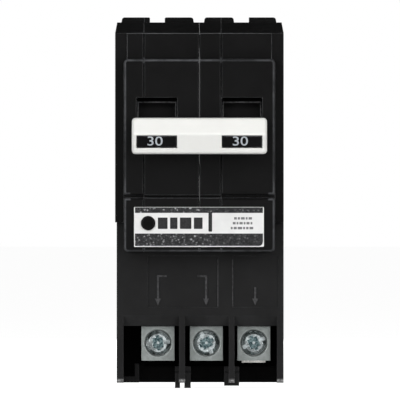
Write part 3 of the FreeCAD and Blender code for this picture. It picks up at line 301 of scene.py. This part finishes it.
def rolled_metal(name, colour, roughness, lay=(1.0, 1.0, 12.0), grain=0.004, stain=0.25, edge_mm=0.12,
                 cloud=0.35, edge_wear_and_highlight=1.35):
    """Metal sheet or wire: fine lay lines, cloudy plating, small pits, and bright edges, partly wear and partly a
    painted highlight.
    """
    s = Shader(name, Metallic=1.0)
    edge = s.edges(edge_mm)
    plating = s.noise(cloud, 5.0, 0.62)
    body = s.mix(s.ramp(plating, 0.30, 0.72), shade(colour, 1.0 - stain), shade(colour, 1.10))
    pits = s.ramp(s.cells(2.6), 0.02, 0.13, 1.0, 0.0)
    sparse = s.ramp(s.noise(1.3, 2.0), 0.52, 0.66)
    body = s.mix(s.times(s.times(pits, sparse), 0.55), body, shade(colour, 0.45))
    # bright edges: partly wear and partly a painted highlight, strongest on the zinc collars
    body = s.mix(s.times(edge, 0.65), body, shade(colour, edge_wear_and_highlight))
    lines = s.noise(1.4, 3.0, 0.7, place=s.stretched(*lay))
    s.bump(lines, grain)
    s.bump(s.noise(3.2, 4.0, 0.7), grain * 1.4)
    rough = s.ramp(s.noise(0.9, 4.0, 0.7), 0.28, 0.74, roughness - 0.08, roughness + 0.14, False)
    return s.finish(body, rough)


def driven_screw(name, colour, node):
    """Zinc-plated screw: bright on its face, and darker and blue-grey down in its recesses, a mottled painted
    shade.

    It has broken bright rings that are a painted highlight, a bright spot where the driver's tip bears, and
    patches of duller plating.
    """
    s = Shader(name, Metallic=1.0)
    edge = s.edges(0.14)
    axis = centre(node) / MM
    face = -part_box(node)[0].y / MM
    from_axis = s.add("ShaderNodeVectorMath", operation="SUBTRACT")
    s.link(s.place, from_axis.inputs[0])
    from_axis.inputs[1].default_value = axis
    split = s.add("ShaderNodeSeparateXYZ")
    s.link(from_axis.outputs["Vector"], split.inputs["Vector"])
    across, up = split.outputs["X"], split.outputs["Z"]
    square = s.maths("ADD", s.times(across, across), s.times(up, up))
    radius = s.maths("SQRT", square)
    depth = s.maths("SUBTRACT", -axis.y, split.outputs["Y"])
    face_share = s.ramp(depth, face - 1.75, face - 1.3)
    patches = s.ramp(s.noise(0.45, 4.0, 0.65), 0.38, 0.62)
    plating = s.mix(patches, shade(colour, 0.32), shade(colour, 0.92))
    # painted shade: mottled dark blue-grey down in the recess, below the face
    recess_shade = s.mix(s.ramp(s.noise(1.5, 4.0, 0.7), 0.36, 0.64), (0.018, 0.040, 0.046), (0.20, 0.27, 0.28))
    body = s.mix(face_share, recess_shade, plating)
    spot = s.times(s.ramp(radius, 0.25, 0.55, 1.0, 0.0), s.ramp(face_share, 0.0, 1.0, 0.8, 0.0))
    body = s.mix(spot, body, shade(colour, 0.9))
    swirl = s.noise(0.30, 2.0)
    # painted highlight: broken bright rings where the thread and chamfer would catch light, made less metallic so
    # they read brighter
    ring_highlight = s.maths("MAXIMUM", s.ring(radius, 3.02, 0.16, swirl), s.ring(radius, 3.45, 0.22, swirl))
    body = s.mix(ring_highlight, body, shade(colour, 0.75))
    s.feed(s.shader, "Metallic", s.ramp(ring_highlight, 0.0, 1.0, 1.0, 0.25, False))
    body = s.mix(s.times(edge, 0.5), body, shade(colour, 1.2))
    s.bump(s.noise(1.6, 4.0, 0.7), 0.01)
    return s.finish(body, s.ramp(s.noise(1.1, 4.0, 0.7), 0.28, 0.74, 0.20, 0.36, False))


def coated(name, colour, roughness=0.35, grain=0.01, coat=0.3, variation=0.18, per_mm=1.5):
    """Dipped, sleeved or lacquered surface with soft waves and faint dust."""
    s = Shader(name, Coat_Weight=coat, Coat_Roughness=0.25)
    edge = s.edges(0.15)
    waves = s.ramp(s.noise(per_mm * 0.3, 4.0), 0.3, 0.7)
    body = s.mix(waves, shade(colour, 1 - variation), shade(colour, 1 + variation))
    body = s.mix(s.times(edge, 0.3), body, shade(colour, 1.8))
    s.bump(s.noise(per_mm, 3.0), grain)
    rough = s.ramp(s.noise(per_mm * 2, 3.0), 0.3, 0.7, roughness - 0.06, roughness + 0.08, False)
    return s.finish(body, rough)


def insulation(name, colour):
    """Extruded wire insulation: faint lengthwise lines and a waxy surface."""
    s = Shader(name, Specular_IOR_Level=0.4, Subsurface_Weight=0.05)
    body = s.mix(s.ramp(s.noise(0.6, 4.0), 0.3, 0.7), shade(colour, 0.85), shade(colour, 1.12))
    s.bump(s.noise(3.0, 3.0, place=s.stretched(2.5, 2.5, 0.2)), 0.012)
    return s.finish(body, s.ramp(s.noise(1.2, 3.0), 0.3, 0.7, 0.42, 0.56, False))


def wound(name, colour, turns_per_mm, axis):
    """Enamelled wire wound in even turns, seen through varnish."""
    s = Shader(name, Coat_Weight=0.35, Coat_Roughness=0.2)
    wave = s.add("ShaderNodeTexWave", bands_direction=axis)
    s.link(s.place, wave.inputs["Vector"])
    wave.inputs["Scale"].default_value = turns_per_mm
    wave.inputs["Distortion"].default_value = 0.25
    body = s.mix(wave.outputs["Fac"], shade(colour, 0.45), shade(colour, 1.15))
    s.bump(wave.outputs["Fac"], 0.05)
    return s.finish(body, s.ramp(s.noise(1.5, 3.0), 0.3, 0.7, 0.28, 0.42, False))


def board(name):
    """Printed circuit board: solder mask over faint tracks, glass weave beneath."""
    s = Shader(name, Coat_Weight=0.4, Coat_Roughness=0.15)
    weave = s.noise(4.0, 2.0, place=s.stretched(1.0, 1.0, 3.0))
    green = s.mix(weave, (0.012, 0.085, 0.035), (0.02, 0.13, 0.055))
    tracks = s.cells(0.35, "DISTANCE_TO_EDGE")
    line = s.ramp(tracks, 0.04, 0.07, 1.0, 0.0)
    body = s.mix(s.times(line, 0.6), green, (0.04, 0.22, 0.09))
    s.bump(line, 0.03)
    return s.finish(body, s.ramp(weave, 0.3, 0.7, 0.28, 0.4, False))


def printed_film(name, colour):
    """The label's white vinyl: very slight waves, dust and a soft sheen."""
    s = Shader(name, Specular_IOR_Level=0.45)
    body = s.mix(s.ramp(s.noise(0.25, 4.0), 0.3, 0.7), shade(colour, 0.95), shade(colour, 1.03))
    s.bump(s.noise(0.8, 3.0), 0.008)
    return s.finish(body, s.ramp(s.noise(0.7, 3.0), 0.3, 0.7, 0.34, 0.46, False))


def speckled_ink(name):
    """The label's dark bands: black ink broken by pale and grey flecks."""
    s = Shader(name, Specular_IOR_Level=0.2)
    fine = s.noise(1.9, 4.0, 0.75)
    body = s.mix(s.ramp(fine, 0.40, 0.72), (0.008, 0.008, 0.009), (0.045, 0.046, 0.048))
    flecks = s.cells(1.1)
    near = s.ramp(flecks, 0.10, 0.50, 1.0, 0.0)
    # the flecks thin out towards the right
    split = s.add("ShaderNodeSeparateXYZ")
    s.link(s.place, split.inputs["Vector"])
    spread = s.ramp(split.outputs["X"], -4.0, 8.0, 1.0, 0.25)
    grit = s.times(s.times(near, s.ramp(s.noise(0.9, 3.0), 0.42, 0.60)), spread)
    body = s.mix(grit, body, (0.33, 0.33, 0.34))
    s.bump(fine, 0.01)
    return s.finish(body, s.ramp(fine, 0.3, 0.7, 0.36, 0.5, False))


def ink(name, colour):
    """Plain printed ink with slightly uneven cover."""
    s = Shader(name, Specular_IOR_Level=0.2)
    faded = tuple(c * 0.9 + 0.02 for c in colour)
    body = s.mix(s.ramp(s.noise(2.2, 4.0, 0.7), 0.35, 0.8), colour, faded)
    s.bump(s.noise(3.0, 3.0), 0.004)
    return s.finish(body, 0.42)


# Boxes for Shader.within, a (low, high, fade) in millimetres for each axis: the wire bays' inner faces, which get
# painted shade, the feet of the module's walls, which get a painted highlight, the flats of the raised escutcheon
# and of the shoulder above it, which get no painted highlight on their rims, the rims of the handles' two drums,
# which get a painted highlight, and the module's arrows, which are lightened, and rib edges, which get a painted
# highlight.
BAY_INSIDE = ((-24.3, 24.9, 0.2), (-40.8, -20.0, 3.2), (-4.0, 18.5, 1.5))
WALL_FEET = ((-26.0, 26.0, 0.5), (-48.5, -46.4, 0.3), (-1.0, 1.0, 0.4))
ESCUTCHEON = ((-20.6, 20.6, 0.3), (-60.0, -40.0, 1.0), (40.4, 95.6, 0.2))
SHOULDER = ((-24.6, 24.6, 0.3), (-60.0, -40.0, 1.0), (97.4, 112.0, 0.3))
DRUM_RIMS = [
    (across, (-60.0, -40.0, 0.5), up)
    for x in (POLE_X["left"] / MM, POLE_X["right"] / MM)
    for across, up in (
        ((x - 5.9, x - 5.5, 0.08), (70.0, 84.1, 0.1)),
        ((x + 5.5, x + 5.9, 0.08), (70.0, 84.1, 0.1)),
        ((x - 5.5, x + 5.5, 0.08), (83.75, 84.1, 0.1)))]
PANEL_MARKS = [
    (across, (-48.0, -47.3, 0.05), (22.9, 36.9, 0.1))
    for across in ((-15.2, 5.2, 0.1), (10.4, 23.4, 0.1), (5.3, 5.65, 0.1), (9.85, 10.2, 0.1))]
# The colours given for rounded rims, the lighter edge colours, the drum rims' mark colour and the zinc collar's
# bright edges are painted highlights, the edges partly wear too; the module's wire bays get painted shade.
MATERIALS = {
    "case_black": moulded(
        "case_black", (0.0028, 0.0028, 0.0029), 0.44, grain=0.010, gloss=0.07, edge=(0.115, 0.118, 0.122),
        fleck=0.35, rim_highlight=(0.060, 0.062, 0.066), plain=[ESCUTCHEON, SHOULDER]),
    "module_black": moulded(
        "module_black", (0.0058, 0.0058, 0.0060), 0.48, grain=0.012, gloss=0.13, edge=(0.026, 0.026, 0.027),
        fleck=0.25, rim_highlight=(0.017, 0.017, 0.0175), painted_shade_box=BAY_INSIDE, highlight_boxes=[WALL_FEET], marks=PANEL_MARKS),
    "handle_black": moulded(
        "handle_black", (0.0030, 0.0030, 0.0031), 0.36, grain=0.005, gloss=0.05, edge=(0.13, 0.13, 0.135),
        edge_mm=0.6, marks=DRUM_RIMS, mark=(0.22, 0.22, 0.225)),
    "tie_white": moulded(
        "tie_white", (0.735, 0.735, 0.71), 0.36, grain=0.004, gloss=0.4, edge=(0.78, 0.78, 0.76),
        cloud=0.02),
    "label_film": printed_film("label_film", (0.68, 0.68, 0.675)),
    "rivet_steel": rolled_metal("rivet_steel", (0.46, 0.46, 0.45), 0.38, lay=(1, 3, 3)),
    "copper": rolled_metal("copper", (0.78, 0.40, 0.24), 0.30, stain=0.35),
    "contact_silver": rolled_metal("contact_silver", (0.86, 0.84, 0.80), 0.26),
    "plated_steel": rolled_metal("plated_steel", (0.62, 0.63, 0.62), 0.33),
    "arc_steel": rolled_metal("arc_steel", (0.38, 0.38, 0.38), 0.45, stain=0.4),
    "spring_steel": rolled_metal("spring_steel", (0.60, 0.60, 0.60), 0.28),
    "bimetal_strip": rolled_metal("bimetal_strip", (0.60, 0.55, 0.48), 0.32, lay=(1, 1, 1)),
    "zinc_collar": rolled_metal(
        "zinc_collar", (0.222, 0.240, 0.234), 0.46, lay=(9, 1, 1), grain=0.006, stain=0.16, edge_mm=0.25,
        cloud=0.7, edge_wear_and_highlight=2.6),
    "screw_steel": rolled_metal("screw_steel", (0.60, 0.66, 0.67), 0.28, lay=(1, 1, 1)),
    "board_green": board("board_green"),
    "epoxy_black": moulded(
        "epoxy_black", (0.015, 0.015, 0.015), 0.55, grain=0.02, gloss=0.3, edge=(0.06, 0.06, 0.06)),
    "can_blue": coated("can_blue", (0.03, 0.05, 0.22)),
    "disc_blue": coated("disc_blue", (0.03, 0.09, 0.35), roughness=0.28, coat=0.6),
    "core_coating": wound("core_coating", (0.55, 0.24, 0.09), 2.2, "X"),
    "coil_tape": wound("coil_tape", (0.60, 0.27, 0.10), 2.6, "Z"),
    "lead_black": insulation("lead_black", (0.02, 0.02, 0.02)),
    "lead_red": insulation("lead_red", (0.42, 0.02, 0.02)),
    "lead_white": insulation("lead_white", (0.74, 0.74, 0.71)),
}
SPECKLED_INK = speckled_ink("label_dark_band")
BLACK_INK = ink("label_black_ink", (0.012, 0.012, 0.013))
GREY_INK = ink("label_grey_ink", (0.16, 0.16, 0.165))
SILVER_INK = ink("figure_silver", (0.40, 0.43, 0.46))


# nodes whose finish isn't the plain one of their slot
OWN_MATERIALS = {
    "module_housing": MATERIALS["module_black"],
    "module_rear_cover": MATERIALS["module_black"],
    "terminal_tongues": MATERIALS["contact_silver"],
}
for side in ("left", "neutral", "right"):
    screw = f"{side}_lug_screw"
    OWN_MATERIALS[screw] = driven_screw(f"screw_steel_{side}", (0.60, 0.66, 0.67), screw)


def dress_cad_nodes():
    for entry in frame["record"]["subparts"]:
        node = entry["node"]
        for slot in NODES[node].material_slots:
            slot.material = OWN_MATERIALS.get(node, MATERIALS[entry["material_slot"]])


def make_flexing_springs():
    """The plunger's spring and the test leaf, as copies shaped as their CAD nodes, which are hidden.

    Each row is a node, the body that presses it, and how far its held and its pressed ends reach, in mm.
    """
    rows = (("plunger_spring", "plunger", 0.3, 0.3), ("test_spring", "button", 3.6, 0.3))
    for node, presser, held, pressed in rows:
        piece = bpy.data.objects.new(f"{node}_flexing", NODES[node].data.copy())
        piece.matrix_world = NODES[node].matrix_world.copy()
        bpy.context.scene.collection.objects.link(piece)
        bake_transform(piece)
        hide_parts(node)


# ---------------------------------------------------------------- flat printed pieces


def rounded(x_low, x_high, z_low, z_high, radii, steps=8):
    """Outline of a rectangle with a radius for each corner, anticlockwise from the lower left."""
    corners = (
        (x_low, z_low, 1, 1, 180), (x_high, z_low, -1, 1, 270),
        (x_high, z_high, -1, -1, 0), (x_low, z_high, 1, -1, 90),
    )
    points = []
    for (x, z, to_x, to_z, start), radius in zip(corners, radii):
        middle = Vector((x + to_x * radius, z + to_z * radius))
        if radius <= 0:
            points.append(middle)
            continue
        for i in range(steps + 1):
            angle = math.radians(start + 90 * i / steps)
            points.append(middle + radius * Vector((math.cos(angle), math.sin(angle))))
    return points


def circle(x, z, radius, steps=48):
    angles = [i * 2 * math.pi / steps for i in range(steps)]
    return [Vector((x + radius * math.cos(a), z + radius * math.sin(a))) for a in angles]


# stands a flat curve up to face the front: its own X and Y become X and Z
FACING = Matrix.Rotation(math.radians(90), 4, "X")


def as_mesh(curve, name, place, material, width=None, height=None):
    """Turns a curve or text into a mesh piece at its place, first scaled to a size if one is given."""
    maker = bpy.data.objects.new(f"{name}_maker", curve)
    bpy.context.scene.collection.objects.link(maker)
    bpy.context.view_layer.update()
    mesh = bpy.data.meshes.new_from_object(maker.evaluated_get(bpy.context.evaluated_depsgraph_get()))
    bpy.data.objects.remove(maker)
    if width:
        low = [min(v.co[i] for v in mesh.vertices) for i in range(3)]
        high = [max(v.co[i] for v in mesh.vertices) for i in range(3)]
        to_middle = Matrix.Translation([-(a + b) / 2 for a, b in zip(low, high)])
        fit = Matrix.Diagonal((width / (high[0] - low[0]), height / (high[1] - low[1]), MM, 1.0))
        mesh.transform(fit @ to_middle)
    mesh.transform(place)
    mesh.materials.clear()
    mesh.materials.append(material)
    piece = bpy.data.objects.new(name, mesh)
    bpy.context.scene.collection.objects.link(piece)
    bm = bmesh.new()
    bm.from_mesh(mesh)
    bmesh.ops.remove_doubles(bm, verts=bm.verts, dist=1e-7)
    bmesh.ops.recalc_face_normals(bm, faces=bm.faces)
    bm.to_mesh(mesh)
    bm.free()
    return piece


def plate(name, outlines, back, thickness, material, bevel=0.0):
    """A thin plate in the XZ plane with its back at a depth. Outlines after the first are holes."""
    curve = bpy.data.curves.new(f"{name}_outline", "CURVE")
    curve.dimensions = "2D"
    curve.fill_mode = "BOTH"
    curve.extrude = thickness / 2 - bevel
    curve.bevel_depth = bevel
    curve.bevel_resolution = 2
    curve.offset = -bevel
    for outline in outlines:
        line = curve.splines.new("POLY")
        line.points.add(len(outline) - 1)
        for point, (x, z) in zip(line.points, outline):
            point.co = (x, z, 0, 1)
        line.use_cyclic_u = True
    place = Matrix.Translation((0, -(back + thickness / 2), 0)) @ FACING
    return as_mesh(curve, name, place, material)


def make_label():
    """The front label: white film with a dark speckled band above and below, and plain generic marks."""
    low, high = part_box("front_label")
    button = centre("test_button")
    back = -high.y
    film_thick = (high.y - low.y) * 0.8
    film_edge = 0.03 * MM
    hole_radius = 2.15 * MM
    corners = (0.2 * MM, 0.4 * MM, 0.2 * MM, 0.2 * MM)
    outlines = [
        rounded(low.x, high.x, low.z, high.z, corners), circle(button.x, button.z, hole_radius)]
    white = MATERIALS["label_film"]
    film = plate("label_film_sheet", outlines, back, film_thick, white, bevel=film_edge)
    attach(film, "case")
    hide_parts("front_label")

    face = back + film_thick
    ink_thick = 0.03 * MM
    left, right = low.x + 0.28 * MM, high.x - 0.30 * MM
    upper_band, lower_band = high.z - 1.75 * MM, low.z + 4.0 * MM
    upper = rounded(left, right, upper_band, high.z - 0.10 * MM, (0, 0, 0, 0))
    lower = rounded(left, right, low.z + 0.30 * MM, lower_band, (0, 1.2 * MM, 0, 0))
    marks = [("upper_band", upper, SPECKLED_INK), ("lower_band", lower, SPECKLED_INK)]
    # plain bars of uneven width and an upright stand where the maker's print would be
    middle = (upper_band + lower_band) / 2
    x = button.x + 2.9 * MM
    bar_half, bar_gap, bar_corner = 1.7 * MM, 0.75, 0.15 * MM
    for i, width in enumerate((2.9, 2.2, 3.4, 2.6)):
        bar = rounded(x, x + width * MM, middle - bar_half, middle + bar_half, (bar_corner,) * 4)
        marks.append((f"bar_{i}", bar, BLACK_INK))
        x += (width + bar_gap) * MM
    corners = (0.3 * MM, 0.3 * MM, 0, 0)
    upright = rounded(x + 1.0 * MM, x + 2.1 * MM, lower_band + 0.55 * MM, upper_band, corners)
    marks.append(("upright", upright, BLACK_INK))
    # rows of dashes stand where small print would be
    row_pitch, margin = 1.45, 2.6
    dash_half, dash_gap, dash_corner, shortest_dash = 0.36 * MM, 0.28 * MM, 0.12 * MM, 0.4 * MM
    chance = random.Random(7)
    for row, reach in enumerate((6.0, 6.4, 7.0)):
        z = middle + (row_pitch - row_pitch * row) * MM
        x, row_end = right - (reach + margin) * MM, right - margin * MM
        while x < row_end - shortest_dash:
            end = min(x + chance.uniform(0.5, 1.5) * MM, row_end)
            dash = rounded(x, end, z - dash_half, z + dash_half, (dash_corner,) * 4, steps=3)
            marks.append((f"dash_{len(marks)}", dash, GREY_INK))
            x = end + dash_gap
    for name, outline, material in marks:
        mark = plate(f"label_{name}", [outline], face, ink_thick, material)
        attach(mark, "case")


def make_rating_figures():
    """The current rating on each handle's tip, which shows through the tie's windows."""
    flatness = 0.05 * MM
    stand_off = 0.015 * MM
    shift, rise = 0.5 * MM, 0.26 * MM
    width, height = 4.5 * MM, 2.85 * MM
    cos_lean, sin_lean = math.cos(LEAN), math.sin(LEAN)
    turned = [(v.co.y - PIVOT.y, v.co.z - PIVOT.z) for v in NODES["left_handle"].data.vertices]
    out_and_up = [(-y * cos_lean - z * sin_lean, z * cos_lean - y * sin_lean) for y, z in turned]
    reach = max(out for out, up in out_and_up)
    tip = [up for out, up in out_and_up if out > reach - flatness]
    lift = (min(tip) + max(tip)) / 2
    for side, x in POLE_X.items():
        text = bpy.data.curves.new(f"{side}_figures", "FONT")
        text.body = "30"
        text.align_x = "CENTER"
        text.align_y = "CENTER"
        text.extrude = 0.02
        text.offset = 0.004
        text.resolution_u = 6
        face = (
            Matrix.Translation((x - shift, PIVOT.y, PIVOT.z)) @ Matrix.Rotation(LEAN, 4, "X")
            @ Matrix.Translation((0, -reach - stand_off, lift + rise)) @ FACING)
        name = f"{side}_rating_figures"
        piece = as_mesh(text, name, face, SILVER_INK, width, height)
        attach(piece, "handle")


# ---------------------------------------------------------------- stage, lights and camera


def make_stage():
    """A wide, pale, evenly lit floor at the object's lower end."""
    s = Shader("pale_floor")
    s.finish(s.mix(s.noise(0.004, 2.0), (0.28, 0.28, 0.28), (0.30, 0.30, 0.30)), 0.9)
    s.shader.inputs["Emission Color"].default_value = (1, 1, 1, 1)
    s.shader.inputs["Emission Strength"].default_value = 0.93
    floor_z = CAD_BOX[0][2] - 0.2 * MM
    half = 12.0
    corners = [(-half, -half), (half, -half), (half, half), (-half, half)]
    mesh = bpy.data.meshes.new("floor")
    mesh.from_pydata([(x, y, floor_z) for x, y in corners], [], [(0, 1, 2, 3)])
    mesh.materials.append(s.material)
    floor = bpy.data.objects.new("floor", mesh)
    floor.visible_diffuse = False
    bpy.context.scene.collection.objects.link(floor)


def area_light(name, place, target, width, height, power):
    light = bpy.data.lights.new(name, "AREA")
    light.shape = "RECTANGLE"
    light.size, light.size_y = width, height
    light.energy = power
    lamp = bpy.data.objects.new(name, light)
    lamp.location = place
    lamp.rotation_euler = (Vector(target) - Vector(place)).to_track_quat("-Z", "Y").to_euler()
    bpy.context.scene.collection.objects.link(lamp)


def make_lights():
    """Soft boxes left, right, above, behind and far in front, in a white studio that glows faintly."""
    middle = (0, -0.04, 0.055)
    area_light("top_softbox", (0, -0.75, 0.95), middle, 1.1, 0.5, 4)
    area_light("left_softbox", (-0.90, -1.05, 0.40), middle, 0.6, 0.8, 13)
    area_light("right_softbox", (0.90, -1.05, 0.40), middle, 0.6, 0.8, 13)
    area_light("front_wall", (0, -4.8, 0.60), middle, 3.0, 2.4, 14)
    area_light("rear_softbox", (0, 1.30, 0.35), middle, 0.9, 0.6, 8)
    world = bpy.data.worlds.new("studio")
    world.use_nodes = True
    tree = world.node_tree
    walls = tree.nodes["Background"]
    walls.inputs["Color"].default_value = (1, 1, 1, 1)
    seen = tree.nodes.new("ShaderNodeLightPath")
    glow = tree.nodes.new("ShaderNodeMapRange")
    glow.inputs["To Min"].default_value = 0.12
    glow.inputs["To Max"].default_value = 1.0
    tree.links.new(seen.outputs["Is Camera Ray"], glow.inputs["Value"])
    tree.links.new(glow.outputs["Result"], walls.inputs["Strength"])
    bpy.context.scene.world = world
    bpy.context.scene.view_settings.view_transform = "Standard"


def make_camera():
    """Straight at the front, as far back as a long studio lens stands."""
    aim = Vector((0.18 * MM, 0, 54.7 * MM))
    distance = 4.0
    face_depth = 0.050
    frame_width = 119.6 * MM
    camera = bpy.data.cameras.new("camera")
    camera.sensor_width = 36
    camera.lens = camera.sensor_width * (distance - face_depth) / frame_width
    camera.clip_end = 50
    view = bpy.data.objects.new("camera", camera)
    view.location = (aim.x, -distance, aim.z)
    view.rotation_euler = (math.radians(90), 0, 0)
    bpy.context.scene.collection.objects.link(view)
    bpy.context.scene.camera = view


make_camera()
make_lights()
make_stage()
dress_cad_nodes()
make_flexing_springs()
make_label()
make_rating_figures()
